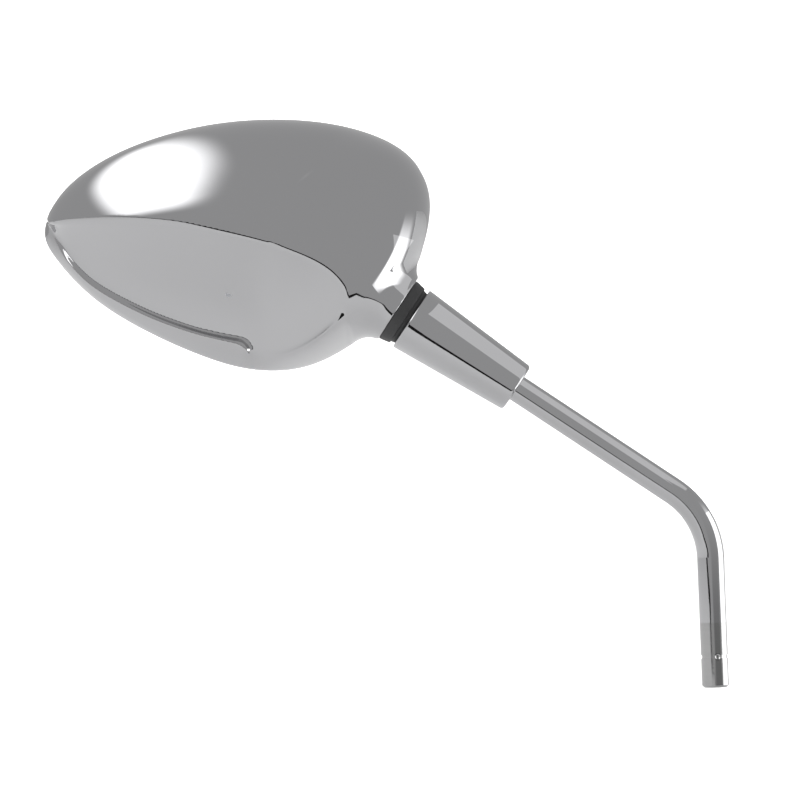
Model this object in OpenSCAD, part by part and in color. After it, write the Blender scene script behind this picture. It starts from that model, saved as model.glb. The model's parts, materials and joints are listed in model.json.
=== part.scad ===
// Handlebar rear-view mirror, right-hand side.
// A bent rod ends in a plain clamp spigot below and in a ball stud above. The mirror head swivels on the ball.
// Origin: centre of the rod where the spigot starts. +Z is up along the spigot, +X points inboard to the bike,
// and -Y is forward, so the glass faces +Y, towards the rider.

/* [Rod] */
// Diameter of the rod, which the handlebar clamp grips at its plain lower end
rod_d = 10; // [8:0.1:10.4]
// Length of the plain end below the origin
spigot_len = 24; // [18:1:40]
// Height of the corner between the two straight legs, measured on their centre lines
corner_h = 39.7; // [32:0.1:60]
// Slope of the upper leg above the horizontal
rise_deg = 35.6; // [30:0.1:45]
// Radius of the bend, on the centre line
bend_r = 31; // [24:1:36]
// Depth of the locating groove around the spigot
groove_depth = 0.35; // [0.2:0.05:0.6]

/* [Sleeve] */
// Distance from the corner to the ball centre, along the upper leg
reach = 137.7; // [130:0.1:160]
// Outer diameter of the sleeve at the head end
sleeve_d_top = 25; // [24.5:0.1:26]
// Outer diameter of the sleeve at the rod end
sleeve_d_low = 19; // [17:0.1:21]
// Length of the sleeve
sleeve_len = 46.8; // [40:0.1:50]
// Gap from the ball centre down to the sleeve's mouth
mouth_gap = 5.9; // [5.5:0.1:7]
// Edge rounding at both ends of the sleeve
sleeve_round = 1.0; // [0.4:0.1:1.2]

/* [Ball joint] */
// Diameter of the ball
ball_d = 14; // [13.5:0.1:14]
// Diameter of the stud's shank
shank_d = 7; // [6:0.1:7]
// Outer diameter of the two nylon half liners
liner_d = 17.8; // [17.6:0.1:17.8]
// Radial running clearance of each ball face
run_gap = 0.05; // [0.03:0.01:0.08]
// Outer diameter of the rubber seal, which is part of a ball
seal_d = 25.2; // [24.8:0.1:25.4]
// Wire diameter of the joint's spring
wire_d = 1.0; // [0.8:0.1:1.2]
// Number of turns in the joint's spring
spring_turns = 2.5; // [2:0.5:3]

/* [Head] */
// Centre of the head, outboard of the origin
head_x = -166; // [-170:1:-160]
// Height of the head's centre
head_z = 146; // [142:1:150]
// Depth of the dome behind the widest section
dome_depth = 32; // [26:1:36]
// Position of the widest section, measured towards the rider
widest_y = 8; // [6:1:9]
// Position of the front rim, measured towards the rider
rim_y = 20; // [20:0.5:22]
// Wall thickness of the housing
wall = 2.4; // [2:0.1:3]
// Share of the dome's depth that the scoop takes away below the crease
scoop_share = 0.42; // [0.2:0.01:0.5]
// Radius of curvature of the convex glass
glass_r = 1400; // [1000:50:2000]
// Thickness of the glass
glass_t = 2; // [1.8:0.1:2.2]

/* [Hidden] */
$fn = 96;

// Points on the head's outline, taken round from the outboard tip over the top, relative to its centre
outline = [[-76, 8], [-69.5, 21.5], [-54, 33], [-35, 40.5], [-14.5, 45], [6, 46.3], [27, 44.7], [46, 39.6],
           [61, 30.5], [67.8, 16], [65.5, 0], [60, -14], [50, -28], [35, -39], [18, -46.3], [-2, -46],
           [-21, -39.5], [-40.5, -29.8], [-59, -17.3], [-72, -2]];
steps = 4;
bend_deg = 90 - rise_deg;
tangent = bend_r * tan(bend_deg / 2);
// The bend is a hair thinner than the legs, which overlap its ends
bend_thin = 0.01;
bend_lap = 0.3;
end_bevel = 0.8;
groove_s = -12.6;
groove_w = 1.2;
dimple_r = 1.5;
ball_r = ball_d / 2;
liner_r = liner_d / 2;
seat_r = liner_r + run_gap;
seal_r = seal_d / 2;
mouth_r = seal_r + 0.3;
low_s = -mouth_gap - sleeve_len;
bolt_hole_d = 6;
rod_top = -34;
nut_s = -26;
cup_out_r = 10.2;
tube_r = 10.5;
tube_top = 19;
cup_lip = -5.6;
cup_bore = seat_r + 0.05;
neck_r = 12.5;
neck_top = 17;
equator_gap = 1.4;
crown = [-4, 18];
liner_low = -4.6;
plate_back = rim_y - 7;
glass_front = rim_y - 1;
pad_t = 1;
head_sink = 0.9;
// Screws of the carrier: place on the head, and the share of the way from the crown to the outline
screw_at = [[-28, 14, 0.35], [22, 17, 0.37], [-8, -18, 0.58]];

// ---- shared geometry ----

// Places its children on the upper leg: local +Z runs up the leg, and local zero is the ball centre
module on_leg() {
    translate([0, 0, corner_h])
        rotate([0, rise_deg - 90, 0])
            translate([0, 0, reach])
                children();
}

// A round solid between two stations on the local axis
module barrel(r, from, to) {
    translate([0, 0, from])
        cylinder(r = r, h = to - from);
}

// A conical solid between two stations
module cone(r_from, r_to, from, to) {
    translate([0, 0, from])
        cylinder(r1 = r_from, r2 = r_to, h = to - from);
}

// Keeps the slice of its children between two stations
module slice(from, to) {
    intersection() {
        children();
        barrel(40, from, to);
    }
}

function at(list, i) = list[(i + len(list)) % len(list)];

// Control points of a cubic spline that runs through the given points closely, with even curvature
function spline_controls(p) = [for (i = [0 : len(p) - 1])
    p[i] - (at(p, i - 1) - 2 * p[i] + at(p, i + 1)) / 6];

function spline_at(c, i, f) =
    (pow(1 - f, 3) * at(c, i - 1) + (3 * pow(f, 3) - 6 * f * f + 4) * c[i]
     + (-3 * pow(f, 3) + 3 * f * f + 3 * f + 1) * at(c, i + 1) + pow(f, 3) * at(c, i + 2)) / 6;

// A closed smooth curve through the points
function smooth_loop(p, steps) = let (c = spline_controls(p))
    [for (i = [0 : len(p) - 1], k = [0 : steps - 1]) spline_at(c, i, k / steps)];

head_loop = smooth_loop(outline, steps);

// The loop moved inwards by d along its normals
function inset_loop(d) = [for (i = [0 : len(head_loop) - 1])
    let (t = at(head_loop, i + 1) - at(head_loop, i - 1), n = [t[1], -t[0]] / norm(t)) head_loop[i] + d * n];

function ease(t) = let (u = max(0, min(1, t))) u * u * (3 - 2 * u);

// Height of the crease that divides the dome from the scoop
function crease_z(x) = 10 - 0.00135 * pow(max(0, x + 68), 2);

// How far the scoop is cut at a point, from 0 on the dome to 1
function scoop(x, z, k) = ease((crease_z(x) - z) / 13) * ease((1 - k) / 0.16) * ease((35 - x) / 16);

// A point on the dome: k shrinks a loop's point towards the crown, depth is measured back from the widest section
function dome_point(p, k, depth, inset) = let (q = crown + k * (p - crown))
    [q[0], widest_y - (depth * (1 - scoop_share * scoop(q[0], q[1], k)) - inset), q[1]];

// Rings of the dome from the widest section to the crown, as [scale, depth]
dome_rings = [for (f = [0 : 7 : 84]) [pow(cos(f), 0.72), pow(sin(f), 1.15)]];
wall_loop = inset_loop(wall);

outer_rings = concat(
    [[for (p = inset_loop(0.8)) [p[0], rim_y, p[1]]],
     [for (p = inset_loop(0.2)) [p[0], (rim_y + widest_y) / 2, p[1]]]],
    [for (r = dome_rings) [for (p = head_loop) dome_point(p, r[0], dome_depth * r[1], 0)]],
    [[for (p = head_loop) dome_point(p, 0.1, dome_depth, 0)]]);

inner_rings = concat(
    [[for (p = wall_loop) dome_point(p, 0.1, dome_depth, wall)]],
    [for (i = [len(dome_rings) - 1 : -1 : 0]) let (r = dome_rings[i])
        [for (p = wall_loop) dome_point(p, r[0], dome_depth * r[1], wall * min(1, 2 * r[1]))]],
    [[for (p = wall_loop) [p[0], rim_y, p[1]]]]);

// Skin of a closed ring sequence that ends in two inner and outer crown caps
module ring_solid(rings) {
    n = len(rings[0]);
    m = len(rings);
    cap = (m - 3) / 2 + 1;
    points = concat([for (r = rings) each r]);
    faces = [for (j = [0 : m - 1], i = [0 : n - 1]) if (j != cap)
        [j * n + i, j * n + (i + 1) % n, ((j + 1) % m) * n + (i + 1) % n, ((j + 1) % m) * n + i]];
    crown_out = [for (i = [0 : n - 1]) cap * n + i];
    crown_in = [for (i = [n - 1 : -1 : 0]) (cap + 1) * n + i];
    polyhedron(points, concat(faces, [crown_out], [crown_in]));
}

// The outline inset by d and drawn out between two planes across the head
module head_slab(d, y_from, y_to) {
    translate([head_x, y_to, head_z])
        rotate([90, 0, 0])
            linear_extrude(height = y_to - y_from)
                polygon(inset_loop(d));
}

// A shallow dome of cones whose crown lies at the given plane, just inside the ball of the same crown
module lens_dome(crown_y) {
    edge = 80;
    profile = [for (r = [0 : 8 : edge]) [r, sqrt(glass_r * glass_r - r * r) - glass_r]];
    translate([head_x, crown_y, head_z])
        rotate([-90, 0, 0])
            rotate_extrude()
                polygon(concat(profile, [[edge, -10], [0, -10]]));
}

// A ball whose crown lies at the given plane, for the convex layers of the glass
module lens_ball(crown_y) {
    translate([head_x, crown_y - glass_r, head_z])
        rotate([90, 0, 0])
            sphere(r = glass_r, $fn = 200);
}

// ---- rod side ----

// Rod: plain spigot with a groove and a dimple, bend and upper leg, tapped for the ball stud
module rod() {
    color([0.72, 0.72, 0.73])
    difference() {
        union() {
            cone(rod_d / 2 - end_bevel, rod_d / 2, -spigot_len, -spigot_len + end_bevel);
            barrel(rod_d / 2, -spigot_len + end_bevel, corner_h - tangent + bend_lap);
            translate([-bend_r, 0, corner_h - tangent])
                rotate([90, 0, 0])
                    rotate_extrude(angle = bend_deg)
                        translate([bend_r, 0])
                            circle(d = rod_d - bend_thin);
            on_leg()
                barrel(rod_d / 2, tangent - reach - bend_lap, rod_top);
        }
        // locating groove
        difference() {
            barrel(rod_d, groove_s - groove_w / 2, groove_s + groove_w / 2);
            barrel(rod_d / 2 - groove_depth, groove_s - groove_w, groove_s + groove_w);
        }
        // dimple for the clamp bolt's tip
        translate([1.2, -rod_d / 2 - 0.5, groove_s])
            sphere(r = dimple_r);
        on_leg()
            barrel(bolt_hole_d / 2, rod_top - 14, rod_top + 1);
    }
}

// Ball stud: ball, shank with a collar, and the thread that screws into the rod
module ball_stud() {
    color([0.62, 0.62, 0.64])
    on_leg()
    union() {
        sphere(r = ball_r);
        barrel(shank_d / 2, nut_s + 4, 0);
        barrel(5, nut_s + 2, nut_s + 5);
        barrel(bolt_hole_d / 2, rod_top - 12, nut_s + 2);
    }
}

// Hexagon nut that locks the stud to the rod
module stud_lock_nut() {
    color([0.66, 0.62, 0.5])
    on_leg()
    difference() {
        translate([0, 0, rod_top + 1.6])
            cylinder(d = 11.5, h = 5, $fn = 6);
        barrel(bolt_hole_d / 2, rod_top, nut_s + 2);
    }
}

// Washer under the lock nut
module lock_washer() {
    color([0.55, 0.55, 0.56])
    on_leg()
    difference() {
        barrel(5, rod_top, rod_top + 1.5);
        barrel(bolt_hole_d / 2, rod_top - 1, rod_top + 3);
    }
}

// Tapered chrome sleeve with a ball-shaped mouth
module sleeve() {
    top = -mouth_gap;
    r_top = sleeve_d_top / 2;
    r_low = sleeve_d_low / 2;
    c = sleeve_round;
    color([0.8, 0.8, 0.81])
    on_leg()
    difference() {
        union() {
            cone(r_low, r_top, low_s + c, top - c);
            cone(r_low - c, r_low, low_s, low_s + c);
            cone(r_top, r_top - c, top - c, top);
        }
        sphere(r = mouth_r);
        cone(r_low - 2, r_top - 2.6, low_s + 3, top - 3.2);
        barrel(rod_d / 2 + 1.25, low_s - 1, low_s + 4);
    }
}

// Nylon bush that centres the sleeve's narrow end on the rod
module sleeve_lower_bush() {
    color([0.12, 0.12, 0.13])
    on_leg()
    difference() {
        union() {
            barrel(rod_d / 2 + 1.25, low_s + 0.6, low_s + 4);
            barrel(rod_d / 2 + 1.95, low_s + 4, low_s + 10);
        }
        barrel(rod_d / 2, low_s - 1, low_s + 12);
    }
}

// Nylon bush that centres the sleeve's wide end on the stud's shank
module sleeve_upper_bush() {
    color([0.12, 0.12, 0.13])
    on_leg()
    difference() {
        cone(8.9, 9.15, -20, -15);
        barrel(shank_d / 2, -21, -14);
    }
}

// ---- ball joint ----

// Half liner above the ball, in two parts round one centre
module liner_upper() {
    color([0.9, 0.9, 0.86])
    on_leg()
    slice(equator_gap, liner_r + 1)
    difference() {
        sphere(r = liner_r);
        sphere(r = ball_r + run_gap);
        barrel(2, 0, liner_r + 1);
    }
}

// Half liner below the ball, open for the shank
module liner_lower() {
    color([0.88, 0.88, 0.84])
    on_leg()
    slice(liner_low, -equator_gap)
    difference() {
        sphere(r = liner_r);
        sphere(r = ball_r + run_gap);
    }
}

// Steel socket pressed into the neck: a ball seat below and a straight threaded bore above
module socket_cup() {
    color([0.6, 0.6, 0.62])
    on_leg()
    difference() {
        union() {
            slice(cup_lip, 0.3)
                sphere(r = cup_out_r);
            barrel(tube_r, 0.3, tube_top);
        }
        sphere(r = seat_r);
        barrel(cup_bore, 0, tube_top + 1);
    }
}

// Cup that the spring presses on the upper liner
module pressure_cup() {
    color([0.75, 0.75, 0.72])
    on_leg()
    difference() {
        barrel(seat_r - 0.1, 5, 10);
        sphere(r = seat_r);
    }
}

// Compression spring that loads the ball joint
module joint_spring() {
    sides = 8;
    per_turn = 16;
    r = 6.2;
    from = 10 + wire_d / 2 + 0.05;
    to = 15 - wire_d / 2 - 0.05;
    count = spring_turns * per_turn;
    points = [for (i = [0 : count], k = [0 : sides - 1])
        let (a = 360 * i / per_turn, s = from + (to - from) * i / count, b = 360 * k / sides,
             rr = r + wire_d / 2 * cos(b))
        [rr * cos(a), rr * sin(a), s + wire_d / 2 * sin(b)]];
    quads = [for (i = [0 : count - 1], k = [0 : sides - 1])
        [i * sides + k, i * sides + (k + 1) % sides, (i + 1) * sides + (k + 1) % sides, (i + 1) * sides + k]];
    tube = [for (q = quads, half = [[0, 1, 2], [0, 2, 3]]) [for (c = half) q[c]]];
    first = [for (k = [sides - 1 : -1 : 0]) k];
    last = [for (k = [0 : sides - 1]) count * sides + k];
    color([0.5, 0.52, 0.55])
    on_leg()
    polyhedron(points, concat(tube, [first], [last]));
}

// Flat washer above the spring
module spring_washer() {
    color([0.7, 0.7, 0.71])
    on_leg()
    difference() {
        barrel(8.8, 15, 16);
        barrel(4, 14, 17);
    }
}

// Threaded ring with a hexagon socket, which sets the joint's friction
module retaining_nut() {
    color([0.68, 0.6, 0.38])
    on_leg()
    difference() {
        barrel(cup_bore - 0.02, 16, 19);
        translate([0, 0, 15])
            cylinder(d = 9.2, h = 5, $fn = 6);
    }
}

// Rubber seal between the neck and the sleeve: a slice of a ball, so it turns inside the sleeve's mouth
module seal_ring() {
    color([0.05, 0.05, 0.05])
    on_leg()
    difference() {
        slice(-7, 0)
            sphere(r = seal_r);
        sphere(r = cup_out_r + 0.05);
    }
}

// ---- head ----

// One-piece chromed housing: teardrop dome with a scoop below the crease, neck and screw bosses
module housing_shell() {
    color([0.8, 0.8, 0.81])
    difference() {
        union() {
            translate([head_x, 0, head_z])
                ring_solid(concat(outer_rings, inner_rings));
            on_leg()
                barrel(neck_r, 0, neck_top);
            for (p = screw_at)
                translate([head_x + p[0], 0, head_z + p[1]])
                    rotate([90, 0, 0])
                        barrel(3, -plate_back, boss_depth(p));
        }
        on_leg()
            barrel(tube_r, -1, tube_top + 1);
        for (p = screw_at)
            translate([head_x + p[0], 0, head_z + p[1]])
                rotate([90, 0, 0])
                    barrel(1.25, -plate_back - 1, 6);
    }
}

// Depth at which a screw boss ends inside the housing's wall, from the share k of the way to the outline
function boss_depth(p) = let (f = acos(pow(p[2], 1 / 0.72)))
    dome_depth * pow(sin(f), 1.15) * (1 - scoop_share * scoop(p[0], p[1], p[2])) - widest_y - 1.2;

// Plastic plate that carries the glass, screwed to the housing's bosses
module carrier_plate() {
    color([0.1, 0.1, 0.11])
    difference() {
        intersection() {
            head_slab(wall + 2.2, plate_back, glass_front);
            lens_dome(glass_front - glass_t - pad_t);
        }
        for (p = screw_at)
            translate([head_x + p[0], 0, head_z + p[1]])
                rotate([90, 0, 0]) {
                    barrel(1.6, -glass_front, 0);
                    barrel(3.2, -glass_front, -plate_back - head_sink);
                }
    }
}

// Three self-tapping screws in the carrier plate
module carrier_screws() {
    color([0.5, 0.5, 0.52])
    for (p = screw_at)
        translate([head_x + p[0], 0, head_z + p[1]])
            rotate([90, 0, 0])
                difference() {
                    union() {
                        barrel(1.2, -plate_back - head_sink, 5);
                        barrel(2.9, -plate_back - head_sink - 1.3, -plate_back - head_sink);
                    }
                    barrel(0.9, -plate_back - 4, -plate_back - head_sink - 0.4);
                }
}

// Foam pad that glues the glass to the carrier
module glass_pad() {
    color([0.16, 0.16, 0.17])
    intersection() {
        head_slab(wall + 3.6, plate_back, glass_front);
        difference() {
            lens_ball(glass_front - glass_t);
            lens_ball(glass_front - glass_t - pad_t);
        }
    }
}

// Convex mirror glass
module mirror_glass() {
    color([0.85, 0.9, 0.93])
    intersection() {
        head_slab(wall + 1.5, plate_back, glass_front + 1);
        difference() {
            lens_ball(glass_front);
            lens_ball(glass_front - glass_t);
        }
    }
}

// Rubber gasket round the glass, with a lip over its edge
module glass_gasket() {
    color([0.06, 0.06, 0.06])
    difference() {
        head_slab(wall + 0.1, plate_back, rim_y - 0.6);
        head_slab(wall + 1.4, plate_back - 1, glass_front - 0.3);
        head_slab(wall + 3.4, plate_back, rim_y);
    }
}

rod();
ball_stud();
stud_lock_nut();
lock_washer();
sleeve();
sleeve_lower_bush();
sleeve_upper_bush();
liner_upper();
liner_lower();
socket_cup();
pressure_cup();
joint_spring();
spring_washer();
retaining_nut();
seal_ring();
housing_shell();
carrier_plate();
carrier_screws();
glass_pad();
mirror_glass();
glass_gasket();
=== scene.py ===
"""Looks of a chrome handlebar mirror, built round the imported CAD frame.

The chrome housing is one closed shell, contoured from a signed distance: a teardrop dome, a scoop under a
crease, a raised ledge along its lower edge, and a neck that blends into the dome. Sleeve, seal and glass are
lofted from rings. Every other piece is the CAD's own, with a new material. Lengths of the pieces are in
millimetres here and become metres when a mesh is made. The camera and the stage are in metres.
"""

import json
import math

import bpy
import numpy as np
from mathutils import Matrix, Vector


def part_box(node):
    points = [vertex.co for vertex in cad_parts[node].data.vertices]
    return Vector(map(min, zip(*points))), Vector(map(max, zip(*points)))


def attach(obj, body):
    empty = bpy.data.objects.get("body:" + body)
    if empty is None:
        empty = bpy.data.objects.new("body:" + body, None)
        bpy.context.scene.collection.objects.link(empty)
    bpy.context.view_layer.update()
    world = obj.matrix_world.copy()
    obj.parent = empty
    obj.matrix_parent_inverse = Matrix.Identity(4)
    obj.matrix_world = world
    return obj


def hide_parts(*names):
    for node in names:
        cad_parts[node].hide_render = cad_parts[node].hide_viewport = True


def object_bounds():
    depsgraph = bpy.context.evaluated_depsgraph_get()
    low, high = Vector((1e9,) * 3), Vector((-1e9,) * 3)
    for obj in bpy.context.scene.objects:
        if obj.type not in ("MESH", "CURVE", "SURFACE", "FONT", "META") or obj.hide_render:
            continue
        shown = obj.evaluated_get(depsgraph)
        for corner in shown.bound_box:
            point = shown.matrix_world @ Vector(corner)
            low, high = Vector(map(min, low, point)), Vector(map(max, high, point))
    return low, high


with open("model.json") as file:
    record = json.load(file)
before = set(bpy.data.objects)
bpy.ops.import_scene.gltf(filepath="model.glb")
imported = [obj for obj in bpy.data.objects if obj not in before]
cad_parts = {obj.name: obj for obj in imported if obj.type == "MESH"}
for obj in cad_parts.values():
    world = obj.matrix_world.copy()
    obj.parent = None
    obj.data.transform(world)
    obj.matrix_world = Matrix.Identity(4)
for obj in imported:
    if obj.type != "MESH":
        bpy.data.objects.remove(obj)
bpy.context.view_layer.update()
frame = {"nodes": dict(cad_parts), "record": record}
MM = 0.001

# ---------------------------------------------------------------- places taken from the frame

# The four lists below are plan points (x, z) relative to the head's centre. Their first values were read off
# the photograph with scratch scripts, and they were then rounded and moved by hand against renders.

# The head's outline, from the outboard tip over the top
OUTLINE = [(-76, 8), (-69.5, 21.5), (-54, 33), (-35, 40.5), (-14.5, 45), (6, 46.3), (27, 44.7), (46, 39.6),
           (61, 30.5), (67.8, 16), (65.5, 0), (60, -14), (50, -28), (35, -39), (18, -46.3), (-2, -46),
           (-21, -39.5), (-40.5, -29.8), (-59, -17.3), (-72, -2)]
# The crease that divides the dome from the scoop, from the tip towards the neck
CREASE = [(-81, 9.8), (-71, 10.5), (-55, 10.2), (-38.5, 9), (-22.5, 6.8), (-8, 3.4), (8, -1), (22, -6.6),
          (30.5, -12.2), (35, -18.6), (36.4, -26.5)]
# The scoop's lower edge, from the neck back to the tip
LOWER_EDGE = [(66, -6), (56, -14), (46, -21.5), (36.4, -27), (27, -34), (17.5, -39.5), (8, -41.6), (-1, -38.6),
              (-10.5, -34.8), (-20, -31.8), (-30, -27.6), (-40.5, -22.8), (-55, -14.2), (-62.5, -7.8),
              (-68.5, 0), (-73, 9), (-77, 17)]
# Inner edge of the raised ledge, from its inboard corner to the tip
LEDGE_EDGE = [(6, -36.5), (-3, -34.2), (-10.5, -32.6), (-19, -30.4), (-29.6, -26.6), (-40, -22), (-54.5, -13.8),
              (-62, -7.4), (-67, -0.6), (-70, 6.5)]
LEDGE_END = -0.4        # x at which the ledge stops
CROWN = (12, 15)        # middle of the dome
WIDEST_Y = 8.0          # where the head is widest
WALL = 2.4              # thickness of the housing

joints = {j["name"]: j for j in frame["record"]["behaviour"]["joints"]}
BALL = np.array(joints["head_tilt"]["pos_m"]) / MM
LEG_AXIS = np.array(joints["head_twist"]["axis"])


def millimetres(node):
    lo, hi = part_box(node)
    return np.array(lo) / MM, np.array(hi) / MM


shell_lo, shell_hi = millimetres("housing_shell")
RIM_Y = shell_hi[1]
DOME_DEPTH = WIDEST_Y - shell_lo[1]


# ---------------------------------------------------------------- curves

def spline(points, closed, steps):
    """A smooth cubic curve close to the points: a B-spline whose control points are pushed out to meet them."""
    p = np.array(points, float)
    if closed:
        before, after = np.roll(p, 1, 0), np.roll(p, -1, 0)
        c = p - (before - 2 * p + after) / 6
        c = np.vstack([c[-1:], c, c[:2]])
    else:
        ends = np.vstack([2 * p[:1] - p[1:2], p, 2 * p[-1:] - p[-2:-1]])
        c = p - (ends[:-2] - 2 * p + ends[2:]) / 6
        c = np.vstack([2 * c[:1] - c[1:2], c, 2 * c[-1:] - c[-2:-1]])
    f = np.arange(steps)[:, None] / steps
    spans = [((1 - f) ** 3 * c[i - 1] + (3 * f ** 3 - 6 * f ** 2 + 4) * c[i]
              + (-3 * f ** 3 + 3 * f ** 2 + 3 * f + 1) * c[i + 1] + f ** 3 * c[i + 2]) / 6
             for i in range(1, len(c) - 2)]
    curve = np.vstack(spans)
    return curve if closed else np.vstack([curve, p[-1:]])


def blurred(values, spread):
    """The samples smoothed with a bell curve of that spread, in samples."""
    reach = int(3 * spread)
    bell = np.exp(-0.5 * (np.arange(-reach, reach + 1) / spread) ** 2)
    bell /= bell.sum()

    def smoothed(row):
        return np.convolve(np.pad(row, reach, "edge"), bell, "valid")

    for axis in (0, 1):
        values = np.apply_along_axis(smoothed, axis, values)
    return values


def distance_to(line, x, z):
    """Signed distance to an open line, positive on its right-hand side."""
    best = np.full(x.shape, 1e9)
    side = np.zeros(x.shape)
    for a, b in zip(line[:-1], line[1:]):
        d = b - a
        t = np.clip(((x - a[0]) * d[0] + (z - a[1]) * d[1]) / (d @ d), 0, 1)
        ex, ez = x - a[0] - t * d[0], z - a[1] - t * d[1]
        q = ex * ex + ez * ez
        near = q < best
        best = np.where(near, q, best)
        side = np.where(near, d[1] * ex - d[0] * ez, side)
    return np.sqrt(best) * np.where(side >= 0, 1, -1)


loop = spline(OUTLINE, True, 60)
HEAD = np.array([shell_lo[0] - loop[:, 0].min(), shell_hi[2] - loop[:, 1].max()])
crease_line = spline(CREASE, False, 16)
lower_line = spline(LOWER_EDGE, False, 16)
ledge_line = spline(LEDGE_EDGE, False, 12)


def bspline_weights(f):
    g = 1 - f
    return g ** 3 / 6, (3 * f ** 3 - 6 * f ** 2 + 4) / 6, (3 * g ** 3 - 6 * g ** 2 + 4) / 6, f ** 3 / 6


class Table:
    """Samples of a function on an even grid, read back with a smooth cubic B-spline."""

    def __init__(self, values, x0, z0, step):
        self.values, self.x0, self.z0, self.step = values, x0, z0, step

    def at(self, x, z):
        total = 0
        (i, wi), (j, wj) = (self.weights(q, n) for q, n in (((x - self.x0) / self.step, self.values.shape[0]),
                                                            ((z - self.z0) / self.step, self.values.shape[1])))
        for a in range(4):
            row = 0
            for b in range(4):
                row = row + self.values[i + a, j + b] * wj[b]
            total = total + row * wi[a]
        return total

    @staticmethod
    def weights(q, n):
        q = np.clip(q, 1, n - 2.001)
        i = np.floor(q).astype(int)
        return i - 1, bspline_weights(q - i)


REACH_STEPS = 480       # directions from the crown in which the outline is sampled
dense_loop = spline(OUTLINE, True, 600) - CROWN
angle = np.arctan2(dense_loop[:, 1], dense_loop[:, 0])
order = np.argsort(angle)
reach_samples = np.interp(np.arange(REACH_STEPS) * 2 * math.pi / REACH_STEPS, angle[order],
                          np.hypot(*dense_loop.T)[order], period=2 * math.pi)


def polar(x, z):
    """Angle and distance of a plan point from the crown, and how far the outline is that way."""
    u, w = x - CROWN[0], z - CROWN[1]
    turn = np.arctan2(w, u)
    q = (turn / (2 * math.pi) % 1) * REACH_STEPS
    i = np.floor(q).astype(int)
    reach = sum(reach_samples[(i + k - 1) % REACH_STEPS] * weight
                for k, weight in enumerate(bspline_weights(q - i)))
    return turn, np.hypot(u, w), reach


# ---------------------------------------------------------------- the head as a distance field

DOME_EDGE = 2.5         # fullness of the dome towards the tip
NECK_SIDE_EDGE = 6.0    # and towards the neck
NECK_SIDE = math.radians(-30)
NECK_SIDE_FROM = 0.2    # cosine at which the neck's fullness begins to tell
SKIRT_INSET = 0.8       # how far the rim pulls in at the front


def ease(t):
    u = np.clip(t, 0, 1)
    return u * u * (3 - 2 * u)


def smooth_max(a, b, r):
    h = np.maximum(r - np.abs(a - b), 0) / r
    return np.maximum(a, b) + h * h * r / 4


def plan_share(x, z):
    """Share of the way from the crown to the outline, 0 at the crown and 1 on the outline, and the fullness."""
    turn, away, reach = polar(x, z)
    towards = ease((np.cos(turn - NECK_SIDE) - NECK_SIDE_FROM) / (1 - NECK_SIDE_FROM))
    return away / reach, DOME_EDGE + (NECK_SIDE_EDGE - DOME_EDGE) * towards


def dome_y(x, z):
    share, fullness = plan_share(x, z)
    return WIDEST_Y - DOME_DEPTH * np.sqrt(np.maximum(1 - share ** fullness, 0))


crease_y = dome_y(*crease_line.T)
EDGE_LOW_Y = 2.5        # height of the scoop's lower edge along the bottom
EDGE_CLIMB = 36         # length over which that edge climbs to the crease at the neck
TIP_X = -76             # x at which it leaves the rim at the tip
TIP_CLIMB = 12          # and the length over which it comes down


def edge_height(x):
    """Height of the scoop's lower edge: level along the bottom, up to the crease at the neck and at the tip."""
    to_neck = EDGE_LOW_Y - (EDGE_LOW_Y - crease_y[-1]) * ease(x / EDGE_CLIMB)
    to_tip = ease((x - TIP_X) / TIP_CLIMB)
    return to_neck * to_tip + WIDEST_Y * (1 - to_tip)


CREASE_ROUND = 0.9      # radius of the crease at the neck
TIP_ROUND = 1.0         # and how much is added to it towards the tip
TIP_ROUND_GROWS = (-10, 40)     # x at which that addition begins, and the length over which it is made
SCOOP_HOLLOW = 0.42     # how much steeper the scoop starts under the crease than it ends
SCOOP_FLATTEST = 0.35   # slopes between which the scoop is carried on above the crease
SCOOP_STEEPEST = 2
SCOOP_BLUR = 3.0        # width of the smoothing in the middle of the scoop
SCOOP_EDGE = 8          # distance from its edges at which that smoothing is full
RIM_BOW = 0.45          # share of the rim's slope that grows outwards
RIM_PAST = 1            # how far past the widest plane the rim's slope is aimed
LEDGE_RISE = 1.9        # height of the ledge, and how much is added to it towards the tip
LEDGE_TIP_RISE = 0.4
LEDGE_GROWS = (-45, 22)  # x at which that addition begins, and the length over which it is made
LEDGE_WALL = 2.6        # width of the wall of the ledge
LEDGE_CORNER = 4.0      # roundness of its inboard corner
LEDGE_TIP = (-74, 7)    # x at which the ledge begins, and the length over which it rises
NECK_FROM = 34.5        # the scoop runs out into the neck here
NECK_RUN = 9            # and the length and depth of that
NECK_DROP = 25
TINY = 1e-6             # keeps a share defined where both of its distances are 0
TABLE_STEP = 0.4        # spacing of the samples that this surface is read back from


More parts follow.
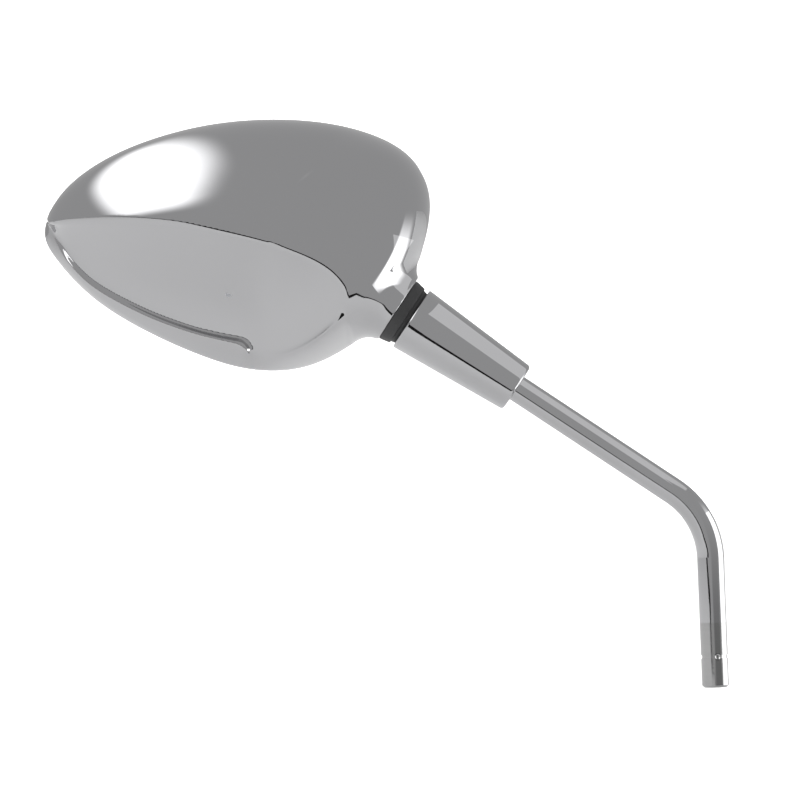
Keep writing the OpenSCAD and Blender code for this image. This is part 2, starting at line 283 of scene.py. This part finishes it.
def cut_surface(x, z):
    """Surface of the scoop, the rim below it and the ledge, as y.

    Above the crease it is carried on in front of the dome.
    """
    below, above = distance_to(crease_line, x, z), distance_to(lower_line, x, z)
    start = dome_y(x, z)
    end = edge_height(x)
    s, t = np.maximum(below, 0), np.maximum(above, 0)
    w = s / (s + t + TINY)
    fall = w * (1 - SCOOP_HOLLOW) + SCOOP_HOLLOW * (1 - (1 - w) ** 2)
    scoop = start + (end - start) * fall
    _, away, reach = polar(x, z)
    outside = np.maximum(-above, 0)
    r = outside / (outside + np.maximum(reach - away, 0) + TINY)
    rim = end + (WIDEST_Y + RIM_PAST - end) * ((1 - RIM_BOW) * r + RIM_BOW * r * r)
    steepness = np.clip((end - start) * (1 + SCOOP_HOLLOW) / (t + TINY), SCOOP_FLATTEST, SCOOP_STEEPEST)
    y = np.where(above > 0, np.where(below > 0, scoop, start + steepness * below), rim)
    soft = blurred(y, SCOOP_BLUR / TABLE_STEP)
    y = y + (soft - y) * ease(np.minimum(s, t) / SCOOP_EDGE)
    inside = -smooth_max(distance_to(ledge_line, x, z), x - LEDGE_END, LEDGE_CORNER)
    rise = LEDGE_RISE + LEDGE_TIP_RISE * ease((LEDGE_GROWS[0] - x) / LEDGE_GROWS[1])
    y = y - rise * ease(inside / LEDGE_WALL) * ease((x - LEDGE_TIP[0]) / LEDGE_TIP[1])
    return y - NECK_DROP * ease((x - NECK_FROM) / NECK_RUN)


table_x = np.arange(loop[:, 0].min() - 4, loop[:, 0].max() + 4, TABLE_STEP)
table_z = np.arange(loop[:, 1].min() - 4, loop[:, 1].max() + 4, TABLE_STEP)
cut_table = Table(cut_surface(*np.meshgrid(table_x, table_z, indexing="ij")), table_x[0], table_z[0],
                  TABLE_STEP)

NECK_R = 12.5
NECK_END = 5            # station at which its straight stretch ends inside the head, with a round end beyond
NECK_BLEND = 8.0        # how softly it runs into the dome
BORE_R = 10.5           # bore for the ball joint, and the station where it ends
BORE_END = 19.0
EDGE_ROUND = 0.3        # rounding of the inner edges
RIM_ROUND = 0.6         # of the rim
MOUTH_ROUND = 0.5       # and of the neck's mouth
STEEPEST_CUT = 9        # cap on the square of the cut's slope
LEAST_STEEP = 0.02      # keeps the dome's distance finite at the crown
STEP = 0.02             # step of the finite differences


def leg_coordinates(x, y, z):
    """Station along the upper leg's axis from the ball, and distance from that axis."""
    px, pz = x + HEAD[0] - BALL[0], z + HEAD[1] - BALL[2]
    along = px * LEG_AXIS[0] + pz * LEG_AXIS[2]
    across = px * LEG_AXIS[2] - pz * LEG_AXIS[0]
    return along, np.hypot(across, y)


def plan_fields(x, z):
    """Everything about the head that depends on the plan position alone."""
    share, fullness = plan_share(x, z)
    dx = (plan_share(x + STEP, z)[0] - share) / STEP
    dz = (plan_share(x, z + STEP)[0] - share) / STEP
    cut = cut_table.at(x, z)
    cx = (cut_table.at(x + STEP, z) - cut) / STEP
    cz = (cut_table.at(x, z + STEP) - cut) / STEP
    slope = np.sqrt(1 + np.minimum(cx * cx + cz * cz, STEEPEST_CUT))
    return share, fullness, np.hypot(dx, dz), cut, slope


def head_distance(fields, x, y, z):
    share, fullness, growth, cut, slope = fields
    u = (WIDEST_Y - y) / DOME_DEPTH
    up = np.maximum(u, 0)
    level = share ** fullness + up ** 2 - 1
    steep = np.hypot(fullness * share ** (fullness - 1) * growth, 2 * up / DOME_DEPTH)
    skirt = np.maximum(-u, 0) * DOME_DEPTH / (RIM_Y - WIDEST_Y)
    dome = level / np.maximum(steep, LEAST_STEEP) + SKIRT_INSET * skirt ** 2
    body = smooth_max(dome, (cut - y) / slope,
                      CREASE_ROUND + TIP_ROUND * ease((TIP_ROUND_GROWS[0] - x) / TIP_ROUND_GROWS[1]))
    along, off = leg_coordinates(x, y, z)
    neck = np.hypot(off, np.maximum(along - NECK_END, 0)) - NECK_R
    outer = -smooth_max(-body, -neck, NECK_BLEND)
    solid = smooth_max(outer, -along, MOUTH_ROUND)
    bore = np.maximum(off - BORE_R, along - BORE_END)
    solid = smooth_max(solid, -(solid + WALL), EDGE_ROUND)
    solid = smooth_max(solid, -bore, EDGE_ROUND)
    return smooth_max(solid, y - RIM_Y, RIM_ROUND)


def distance(p):
    x, y, z = p.T
    return head_distance(plan_fields(x, z), x, y, z)


def gradient(p):
    """The distance at each point, and its gradient."""
    here = distance(p)
    g = np.stack([(distance(p + STEP * e) - here) / STEP for e in np.eye(3)], 1)
    return here, g


# ---------------------------------------------------------------- dual contouring

HOLD = 0.05             # how strongly a vertex is held to the mean of its cell's crossings


def grid_values(axes):
    gx, gz = np.meshgrid(axes[0], axes[2], indexing="ij")
    fields = plan_fields(gx, gz)
    return np.stack([head_distance(fields, gx, np.full(gx.shape, y), gz) for y in axes[1]], 1)


def contour(axes, h):
    """Vertices, quads and normals of the surface where the distance is zero."""
    values = grid_values(axes)
    lows = np.array([a[0] for a in axes])
    points, normals, cells, quads, start = [], [], [], [], 0
    for axis in range(3):
        a = np.take(values, np.arange(values.shape[axis] - 1), axis)
        b = np.take(values, np.arange(1, values.shape[axis]), axis)
        at = np.argwhere((a < 0) != (b < 0))
        others = [k for k in range(3) if k != axis]
        at = at[(at[:, others] > 0).all(1)]
        va, vb = a[tuple(at.T)], b[tuple(at.T)]
        p = lows + at * h
        p[:, axis] += h * va / (va - vb)
        here, g = gradient(p)
        g /= np.maximum(np.linalg.norm(g, axis=1, keepdims=True), 1e-9)
        p = p - np.clip(here, -h / 2, h / 2)[:, None] * g
        ring = []
        for da, db in ((0, 0), (1, 0), (1, 1), (0, 1)):
            cell = at.copy()
            cell[:, others[0]] -= da
            cell[:, others[1]] -= db
            ring.append(cell @ [values.shape[1] * values.shape[2], values.shape[2], 1])
        flip = (va < 0) == (axis == 1)
        ring = np.stack(ring, 1)
        ring[flip] = ring[flip][:, ::-1]
        points.append(p)
        normals.append(g)
        quads.append(ring)
    points, normals, quads = map(np.vstack, (points, normals, quads))
    ids, index = np.unique(quads, return_inverse=True)
    index = index.reshape(quads.shape)
    n = len(ids)
    count, mean = np.zeros(n), np.zeros((n, 3))
    square, moment = np.zeros((n, 3, 3)), np.zeros((n, 3))
    outer = normals[:, :, None] * normals[:, None, :]
    level = normals * np.sum(normals * points, 1, keepdims=True)
    for corner in index.T:
        np.add.at(count, corner, 1)
        np.add.at(mean, corner, points)
        np.add.at(square, corner, outer)
        np.add.at(moment, corner, level)
    mean /= count[:, None]
    pull = HOLD * count
    square += pull[:, None, None] * np.eye(3)
    moment += pull[:, None] * mean
    verts = np.linalg.solve(square, moment[:, :, None])[:, :, 0]
    verts = np.clip(verts, mean - h / 2, mean + h / 2)
    for _ in range(3):
        here, g = gradient(verts)
        size = np.maximum(np.sum(g * g, 1), 0.25)
        verts = verts - np.clip(here / size, -h / 3, h / 3)[:, None] * g
    g = gradient(verts)[1]
    g /= np.maximum(np.linalg.norm(g, axis=1, keepdims=True), 1e-9)
    return verts, index, g


# ---------------------------------------------------------------- meshes

def make_object(name, verts, faces, normals=None):
    mesh = bpy.data.meshes.new(name)
    mesh.from_pydata((np.asarray(verts) * MM).tolist(), [], [list(map(int, f)) for f in faces])
    mesh.update()
    mesh.polygons.foreach_set("use_smooth", [True] * len(mesh.polygons))
    if normals is not None:
        mesh.normals_split_custom_set_from_vertices([tuple(n) for n in normals])
    obj = bpy.data.objects.new(name, mesh)
    bpy.context.scene.collection.objects.link(obj)
    return obj


def loft(rings, closed_rings=False, cap_first=False, cap_last=False):
    """Vertices and faces of a skin through rings that have the same number of points."""
    n, m = len(rings[0]), len(rings)
    verts = np.vstack(rings)
    faces = []
    for j in range(m if closed_rings else m - 1):
        k = (j + 1) % m
        for i in range(n):
            q = (i + 1) % n
            faces.append((j * n + i, j * n + q, k * n + q, k * n + i))
    if cap_first:
        faces.append(tuple(range(n - 1, -1, -1)))
    if cap_last:
        faces.append(tuple((m - 1) * n + i for i in range(n)))
    return verts, faces


CELL = 0.55
GRID_OFFSET = 0.137     # keeps grid points off the shape's own flat faces


def housing():
    h = CELL
    lo = np.array([loop[:, 0].min() - 2, shell_lo[1] - 1.5, loop[:, 1].min() - 2]) + GRID_OFFSET
    hi = np.array([loop[:, 0].max() + 3, RIM_Y + 1.5, loop[:, 1].max() + 2])
    axes = [np.arange(a, b, h) for a, b in zip(lo, hi)]
    verts, faces, normals = contour(axes, h)
    return make_object("chrome_housing", verts + [HEAD[0], 0, HEAD[1]], faces, normals)


shell = housing()
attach(shell, "head")
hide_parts("housing_shell")


def lathe(name, profile, steps=128):
    """A closed ring turned round the upper leg. Profile points are (station from the ball, radius)."""
    across, side = np.array([LEG_AXIS[2], 0, -LEG_AXIS[0]]), np.array([0.0, 1.0, 0.0])
    turns = [(math.cos(t), math.sin(t)) for t in np.arange(steps) * 2 * math.pi / steps]
    rings = [np.array([BALL + a * LEG_AXIS + r * (c * across + d * side) for c, d in turns])
             for a, r in profile]
    verts, faces = loft(rings, closed_rings=True)
    obj = make_object(name, verts, faces)
    obj.data.set_sharp_from_angle(angle=math.radians(40))
    return obj


def rounded(points, radius, steps=5):
    """The profile with its corners rounded; a radius of 0 leaves a corner sharp."""
    out = []
    n = len(points)
    for i, r in enumerate(radius):
        p, a, b = (np.array(points[k % n], float) for k in (i, i - 1, i + 1))
        if r == 0:
            out.append(tuple(p))
            continue
        da, db = (a - p) / np.linalg.norm(a - p), (b - p) / np.linalg.norm(b - p)
        for k in range(steps + 1):
            t = k / steps
            q = p + r * ((1 - t) ** 2 * da + t ** 2 * db)
            out.append(tuple(q))
    return out


SLEEVE_MOUTH, SLEEVE_FOOT = -5.9, -52.7
sleeve = lathe("chrome_sleeve", rounded(
    [(SLEEVE_MOUTH, 12.5), (SLEEVE_FOOT, 9.5), (SLEEVE_FOOT, 6.25), (-50.5, 6.25), (-50.5, 8.6), (-12, 11.0),
     (-7.6, 10.42), (SLEEVE_MOUTH, 11.5)], [0.7, 1.5, 0.6, 0, 0, 0, 0, 0.25], 6))
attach(sleeve, "stem")
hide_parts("sleeve")

seal = lathe("rubber_seal", rounded(
    [(0, 12.55), (-0.9, 12.5), (-3.6, 12.0), (-4.3, 11.7), (-4.3, 11.2), (-7, 10.46), (-7, 7.6), (0, 10.25)],
    [0.3, 0.3, 0.5, 0.25, 0.2, 0, 0, 0]))
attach(seal, "head")
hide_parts("seal_ring")

GLASS_R = 1400          # radius of the convex glass
GLASS_T = 2.0
GLASS_FRONT = 1.0       # depth of its middle below the rim
GLASS_INSET = 3.92      # from the outline to the edge of the glass


def convex_glass():
    """The glass: rings drawn from its middle out to an even inset of the outline, in front and behind."""
    outer = loop[::4]
    tangent = np.roll(outer, -1, 0) - np.roll(outer, 1, 0)
    inward = np.stack([-tangent[:, 1], tangent[:, 0]], 1) / np.linalg.norm(tangent, axis=1)[:, None]
    inward = inward * np.sign(-(inward * (outer - CROWN)).sum())
    edge = outer + inward * GLASS_INSET
    rings = []
    for share, deep in ([(s, 0.0) for s in np.linspace(0.03, 0.99, 25)] + [(0.996, 0.02), (0.999, 0.3)]
                        + [(0.999, GLASS_T - 0.3), (0.996, GLASS_T - 0.02)]
                        + [(s, GLASS_T) for s in np.linspace(0.99, 0.03, 25)]):
        x, z = (edge * share).T
        fall = GLASS_R - np.sqrt(GLASS_R ** 2 - x * x - z * z)
        rings.append(np.stack([x + HEAD[0], RIM_Y - GLASS_FRONT - fall - deep, z + HEAD[1]], 1))
    verts, faces = loft(rings, cap_first=True, cap_last=True)
    a, b, c = (verts[faces[0][i]] for i in range(3))
    if np.cross(b - a, c - a)[1] < 0:
        faces = [f[::-1] for f in faces]
    return make_object("silvered_convex_glass", verts, faces)


pane = convex_glass()
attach(pane, "head")
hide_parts("mirror_glass")

# ---------------------------------------------------------------- materials


def noise(tree, scale, detail=3.0, stretch=None):
    place = tree.nodes.new("ShaderNodeTexCoord")
    node = tree.nodes.new("ShaderNodeTexNoise")
    node.inputs["Scale"].default_value = scale
    node.inputs["Detail"].default_value = detail
    vector = place.outputs["Object"]
    if stretch:
        scaling = tree.nodes.new("ShaderNodeMapping")
        scaling.inputs["Scale"].default_value = stretch
        tree.links.new(vector, scaling.inputs["Vector"])
        vector = scaling.outputs["Vector"]
    tree.links.new(vector, node.inputs["Vector"])
    return node.outputs["Fac"]


def spread(tree, value, low, high, start=0.3, end=0.7):
    node = tree.nodes.new("ShaderNodeMapRange")
    for key, v in (("From Min", start), ("From Max", end), ("To Min", low), ("To Max", high)):
        node.inputs[key].default_value = v
    tree.links.new(value, node.inputs["Value"])
    return node.outputs["Result"]


def math_node(tree, operation, *values):
    node = tree.nodes.new("ShaderNodeMath")
    node.operation = operation
    for socket, value in zip(node.inputs, values):
        if isinstance(value, (int, float)):
            socket.default_value = value
        else:
            tree.links.new(value, socket)
    return node.outputs["Value"]


def finish_material(name, colour, metallic, rough, blotch=60, grain=400, depth=0.00001, tint=0.06, stretch=None,
                    **sockets):
    """A material whose colour drifts, whose roughness follows smudges and whose surface has a grain."""
    mat = bpy.data.materials.new(name)
    mat.use_nodes = True
    tree = mat.node_tree
    shader = tree.nodes["Principled BSDF"]
    shader.inputs["Metallic"].default_value = metallic
    for key, v in sockets.items():
        shader.inputs[key.replace("_", " ")].default_value = v
    drift = tree.nodes.new("ShaderNodeMix")
    drift.data_type = "RGBA"
    drift.inputs["A"].default_value = (*(c * (1 - tint) for c in colour), 1)
    drift.inputs["B"].default_value = (*(min(c * (1 + tint), 1) for c in colour), 1)
    tree.links.new(noise(tree, blotch / 2, 2), drift.inputs["Factor"])
    tree.links.new(drift.outputs["Result"], shader.inputs["Base Color"])
    smudge = spread(tree, noise(tree, blotch, 5, stretch), *rough)
    tree.links.new(smudge, shader.inputs["Roughness"])
    bump = tree.nodes.new("ShaderNodeBump")
    bump.inputs["Distance"].default_value = depth
    tree.links.new(noise(tree, grain, 4, stretch), bump.inputs["Height"])
    tree.links.new(bump.outputs["Normal"], shader.inputs["Normal"])
    return mat, tree, shader, drift, smudge


def wear_below(made, height, blend, rough, colour):
    """Dull the part of a chrome tube that a clamp has gripped: rougher, darker, with fine rub marks."""
    mat, tree, shader, drift, smudge = made
    place = tree.nodes.new("ShaderNodeTexCoord")
    parts = tree.nodes.new("ShaderNodeSeparateXYZ")
    tree.links.new(place.outputs["Object"], parts.inputs["Vector"])
    gripped = spread(tree, parts.outputs["Z"], 1, 0, height - blend, height)
    rubbed = math_node(tree, "MULTIPLY_ADD", noise(tree, 90, 6, (0.4, 0.4, 8)), 0.12, rough - 0.06)
    mixed = tree.nodes.new("ShaderNodeMix")
    tree.links.new(gripped, mixed.inputs["Factor"])
    tree.links.new(smudge, mixed.inputs["A"])
    tree.links.new(rubbed, mixed.inputs["B"])
    tree.links.new(mixed.outputs["Result"], shader.inputs["Roughness"])
    tone = tree.nodes.new("ShaderNodeMix")
    tone.data_type = "RGBA"
    tree.links.new(gripped, tone.inputs["Factor"])
    tree.links.new(drift.outputs["Result"], tone.inputs["A"])
    tone.inputs["B"].default_value = (*colour, 1)
    tree.links.new(tone.outputs["Result"], shader.inputs["Base Color"])
    return mat


CHROME = (0.49, 0.49, 0.5)
shell_chrome = finish_material("chrome_on_the_housing", CHROME, 1, (0.015, 0.05), 22, 110, 0.000004, 0.03)[0]
sleeve_chrome = finish_material("chrome_on_the_sleeve", CHROME, 1, (0.015, 0.05), 40, 160, 0.000003, 0.03)[0]
rod_chrome = wear_below(finish_material("chrome_on_the_rod", CHROME, 1, (0.02, 0.07), 60, 220, 0.000003, 0.04),
                        0.0003, 0.0006, 0.12, (0.43, 0.43, 0.43))
rubber = finish_material("black_seal_rubber", (0.022, 0.022, 0.023), 0, (0.42, 0.62), 70, 900, 0.00004,
                         0.25)[0]
gasket_rubber = finish_material("black_gasket_rubber", (0.018, 0.018, 0.019), 0, (0.5, 0.7), 60, 1100, 0.00005,
                                0.25)[0]
zinc = finish_material("zinc_plated_steel", (0.56, 0.57, 0.6), 1, (0.22, 0.42), 160, 1200, 0.00001, 0.12)[0]
spring = finish_material("spring_steel", (0.33, 0.33, 0.34), 1, (0.2, 0.4), 300, 1500, 0.00001, 0.15)[0]
brass = finish_material("turned_brass", (0.72, 0.53, 0.26), 1, (0.16, 0.34), 140, 900, 0.00001, 0.1)[0]
nylon = finish_material("white_nylon", (0.78, 0.77, 0.73), 0, (0.32, 0.48), 120, 900, 0.00002, 0.04,
                        Subsurface_Weight=0.08, Subsurface_Scale=0.002)[0]
plastic = finish_material("black_moulded_plastic", (0.02, 0.02, 0.021), 0, (0.38, 0.55), 90, 1400, 0.00004,
                          0.2)[0]
foam = finish_material("grey_foam", (0.09, 0.09, 0.095), 0, (0.8, 0.95), 300, 700, 0.0004, 0.4)[0]
glass = finish_material("silvered_glass", (0.86, 0.88, 0.88), 1, (0.004, 0.02), 18, 60, 0.0000005, 0.01,
                        Coat_Weight=1.0, Coat_Roughness=0.01, Coat_IOR=1.52)[0]

shell.data.materials.append(shell_chrome)
sleeve.data.materials.append(sleeve_chrome)
seal.data.materials.append(rubber)
pane.data.materials.append(glass)
FINISHES = {"rod": rod_chrome, "ball_stud": zinc, "stud_lock_nut": zinc, "lock_washer": zinc,
            "sleeve_lower_bush": plastic, "sleeve_upper_bush": plastic, "liner_upper": nylon,
            "liner_lower": nylon, "socket_cup": zinc, "pressure_cup": zinc, "joint_spring": spring,
            "spring_washer": zinc, "retaining_nut": brass, "carrier_plate": plastic, "carrier_screws": zinc,
            "glass_pad": foam, "glass_gasket": gasket_rubber}
for node, mat in FINISHES.items():
    for slot in frame["nodes"][node].material_slots:
        slot.material = mat

# ---------------------------------------------------------------- camera, stage and lights

lo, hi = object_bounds()
centre = (lo + hi) / 2
LENS = 260.0
SENSOR = 36.0
SPAN = 0.2955           # width of the picture at the rod
ROLL = math.radians(-2.2)
AIM_RIGHT = 0.006       # how far the camera aims to the right of the object's middle, and above it
AIM_UP = 0.0023
distance_back = SPAN * LENS / SENSOR
target = Vector((centre.x + AIM_RIGHT, 0, centre.z + AIM_UP))
cam_data = bpy.data.cameras.new("camera")
cam_data.lens = LENS
cam_data.sensor_width = SENSOR
cam = bpy.data.objects.new("camera", cam_data)
bpy.context.scene.collection.objects.link(cam)
cam.matrix_world = (Matrix.Translation(target + Vector((0, -distance_back, 0)))
                    @ Matrix.Rotation(math.radians(90), 4, "X") @ Matrix.Rotation(ROLL, 4, "Z"))
bpy.context.scene.camera = cam


def stage_mesh(name, verts, faces):
    """A mesh of the stage, with a material of its own; one with a single four-sided face gets UVs."""
    mesh = bpy.data.meshes.new(name)
    mesh.from_pydata(verts, [], faces)
    mesh.update()
    obj = bpy.data.objects.new(name, mesh)
    bpy.context.scene.collection.objects.link(obj)
    if len(faces[0]) == 4 and len(faces) == 1:
        uv = mesh.uv_layers.new()
        for loop_index, corner in enumerate([(0, 0), (1, 0), (1, 1), (0, 1)]):
            uv.data[loop_index].uv = corner
    mat = bpy.data.materials.new(name)
    mat.use_nodes = True
    obj.data.materials.append(mat)
    return obj


FLOOR_Z = -0.032
MIRRORED_Z = FLOOR_Z + 0.0005   # the floor's twin, the grey flag and the dark edge, each above the last
FLAG_Z = FLOOR_Z + 0.001
EDGE_Z = FLOOR_Z + 0.002
BELOW = 0.1             # how far the backdrop reaches below the floor
CARD_BELOW = 0.08       # and the cards at the lower leg
BACK = 3.2              # distance of the backdrop
SIDE = 3                # half width of the floor
SURROUND = 0.51         # brightness of the room
# The far edge of the grey flag, from the right of the rod to the left, and the width of the dark line along it
EDGE = [(0.05, 0.12), (0.03, 0.02), (0.0, -0.16), (-0.19, -0.27), (-0.42, -0.8), (-3, -2.6)]
EDGE_WIDTH = [0.004, 0.006, 0.02, 0.09, 0.3, 0.5]


def ramp(tree, value, start, end):
    node = tree.nodes.new("ShaderNodeMapRange")
    node.interpolation_type = "SMOOTHERSTEP"
    node.inputs["From Min"].default_value = start
    node.inputs["From Max"].default_value = end
    tree.links.new(value, node.inputs["Value"])
    return node.outputs["Result"]


def paint(obj, grey, glow=0.0, fade_between=None):
    """A matt grey that glows.

    With fade_between, the glow is added to the room's brightness and fades out at the sides and up the height.
    """
    tree = obj.data.materials[0].node_tree
    shader = tree.nodes["Principled BSDF"]
    shader.inputs["Base Color"].default_value = (grey, grey, grey, 1)
    shader.inputs["Roughness"].default_value = 0.9
    shader.inputs["Specular IOR Level"].default_value = 0.0
    shader.inputs["Emission Color"].default_value = (1, 1, 1, 1)
    shader.inputs["Emission Strength"].default_value = glow
    if fade_between:
        place = tree.nodes.new("ShaderNodeTexCoord")
        parts = tree.nodes.new("ShaderNodeSeparateXYZ")
        tree.links.new(place.outputs["UV"], parts.inputs["Vector"])
        sides = math_node(tree, "MULTIPLY", ramp(tree, parts.outputs["X"], 0.0, 0.3),
                          ramp(tree, parts.outputs["X"], 1.0, 0.7))
        fade = math_node(tree, "MULTIPLY", sides, ramp(tree, parts.outputs["Y"], *fade_between))
        level = math_node(tree, "MULTIPLY_ADD", fade, glow, SURROUND)
        tree.links.new(level, shader.inputs["Emission Strength"])


def reflection_only(obj):
    """A card that is out of the picture: it shows in reflections and nowhere else."""
    obj.visible_camera = obj.visible_diffuse = obj.visible_shadow = obj.visible_transmission = False
    return obj


def flat(points, z):
    return [(x, y, z) for x, y in points]


def quad(name, corners):
    return stage_mesh(name, corners, [(0, 1, 2, 3)])


def floor_quad(name, back, z):
    return quad(name, flat([(-SIDE, -SIDE), (SIDE, -SIDE), (SIDE, back), (-SIDE, back)], z))


# The floor that the camera sees, and a darker twin that only reflections see
floor = floor_quad("pale_floor", BACK + 0.2, FLOOR_Z)
paint(floor, grey=0.8, glow=0.25)
floor.visible_glossy = False
mirrored = reflection_only(floor_quad("pale_floor_mirrored", BACK, MIRRORED_Z))
paint(mirrored, grey=0.56, glow=0.07)
back = quad("pale_back", [(x, BACK, z) for x, z in ((-0.9, FLOOR_Z - BELOW), (0.7, FLOOR_Z - BELOW), (0.7, 0.7),
                                                    (-0.9, 0.7))])
paint(back, grey=0.8, glow=0.9)

# The near part of the floor mirrors as the room's grey, with a black strip along its far edge: a painted shadow
# line, seen only in reflections
near_floor = EDGE + [(-SIDE, -SIDE), (SIDE, -SIDE), (SIDE, EDGE[0][1])]
flag = reflection_only(stage_mesh("grey_flag", flat(near_floor, FLAG_Z), [tuple(range(len(near_floor)))]))
paint(flag, grey=0, glow=SURROUND)
near_side = [(x + 0.2 * width, y - width) for (x, y), width in zip(EDGE, EDGE_WIDTH)]
n = len(EDGE)
# painted shadow: a black strip that reflections show as the shaded line along the floor's far edge
gap = reflection_only(stage_mesh("painted_edge_shadow", flat(EDGE + near_side, EDGE_Z),
                                 [(i, i + 1, i + 1 + n, i + n) for i in range(1, n - 1)]))
paint(gap, grey=0.01)

# A bright card on the right, which the dome shows beside the neck
strip = reflection_only(quad("right_strip", [(0.07, -0.14, FLOOR_Z), (0.07, 0.09, FLOOR_Z), (0.17, 0.09, 0.27),
                                             (0.17, -0.01, 0.27)]))
paint(strip, grey=0, glow=3.0, fade_between=(0.6, 0.12))


def round_the_leg(name, distance, start, end, top):
    """A card beside the lower leg, between two directions in degrees from the front round to the right."""
    (x0, y0), (x1, y1) = [(distance * math.sin(math.radians(a)), -distance * math.cos(math.radians(a)))
                          for a in (start, end)]
    foot = FLOOR_Z - CARD_BELOW
    return reflection_only(quad(name, [(x0, y0, foot), (x1, y1, foot), (x1, y1, top), (x0, y0, top)]))


leg_light = round_the_leg("leg_light", distance=0.06, start=54, end=124, top=0.066)
paint(leg_light, grey=0, glow=2.6)
leg_shade = round_the_leg("leg_shade", distance=0.022, start=-8, end=62, top=0.07)
paint(leg_shade, grey=0, glow=-0.26, fade_between=(0.95, 0.5))


def leg_point(along, across, y):
    """A point given by its station along the upper leg, its height square to the leg, and y, all in metres."""
    return tuple(Vector(BALL * MM) + along * Vector(LEG_AXIS) + across * Vector((LEG_AXIS[2], 0, -LEG_AXIS[0]))
                 + Vector((0, y, 0)))


# A card above the sleeve that adds its light to what is seen through it
PANEL_ALONG = (-0.13, -0.012)   # its stations along the upper leg
PANEL_Y = (-0.038, 0.003)
PANEL_HEIGHT = 0.032    # its distance from the sleeve's axis
PANEL_GLOW = 0.4
(low, high), (front, rear) = PANEL_ALONG, PANEL_Y
upper_panel = reflection_only(quad("upper_panel", [leg_point(along, PANEL_HEIGHT, y) for along, y in (
    (low, front), (low, rear), (high, rear), (high, front))]))
tree = upper_panel.data.materials[0].node_tree
glow, clear, both = (tree.nodes.new("ShaderNode" + kind)
                     for kind in ("Emission", "BsdfTransparent", "AddShader"))
glow.inputs["Strength"].default_value = PANEL_GLOW
tree.links.new(glow.outputs[0], both.inputs[0])
tree.links.new(clear.outputs[0], both.inputs[1])
tree.links.new(both.outputs[0], tree.nodes["Material Output"].inputs["Surface"])

world = bpy.data.worlds.new("studio")
bpy.context.scene.world = world
world.use_nodes = True
tree = world.node_tree
tree.nodes["Background"].inputs["Strength"].default_value = 1.0

# One long soft patch of light, from the front left up and over the top
PATCH_GLOW = 2.2
PATCH_RIGHT = (-0.13, -0.36)    # where it fades in from the right, from the lower left and from below
PATCH_LEFT = (0.26, -0.08)
PATCH_LOW = (0.04, 0.26)
LEANING = (-1, 0.5, -0.8)       # the direction that its left side is measured along
place = tree.nodes.new("ShaderNodeTexCoord")
parts = tree.nodes.new("ShaderNodeSeparateXYZ")
tree.links.new(place.outputs["Generated"], parts.inputs["Vector"])
right_side = ramp(tree, parts.outputs["X"], *PATCH_RIGHT)
leaning = tree.nodes.new("ShaderNodeVectorMath")
leaning.operation = "DOT_PRODUCT"
leaning.inputs[1].default_value = LEANING
tree.links.new(place.outputs["Generated"], leaning.inputs[0])
left_side = ramp(tree, leaning.outputs["Value"], *PATCH_LEFT)
low_side = ramp(tree, parts.outputs["Z"], *PATCH_LOW)
patch = math_node(tree, "MULTIPLY", math_node(tree, "MULTIPLY", right_side, left_side), low_side)
level = math_node(tree, "MULTIPLY_ADD", patch, PATCH_GLOW, SURROUND)
tree.links.new(level, tree.nodes["Background"].inputs["Color"])

# A large soft light overhead, which the chrome doesn't mirror
light = bpy.data.lights.new("top_light", "AREA")
light.shape = "RECTANGLE"
light.size = light.size_y = 2.0
light.energy = 30
top = bpy.data.objects.new("top_light", light)
bpy.context.scene.collection.objects.link(top)
top.location = (-0.1, 0.3, 1.8)
top.rotation_euler = (Vector((centre.x, 0, centre.z)) - top.location).to_track_quat("-Z", "Y").to_euler()
top.visible_glossy = False
bpy.context.scene.view_settings.view_transform = "Standard"
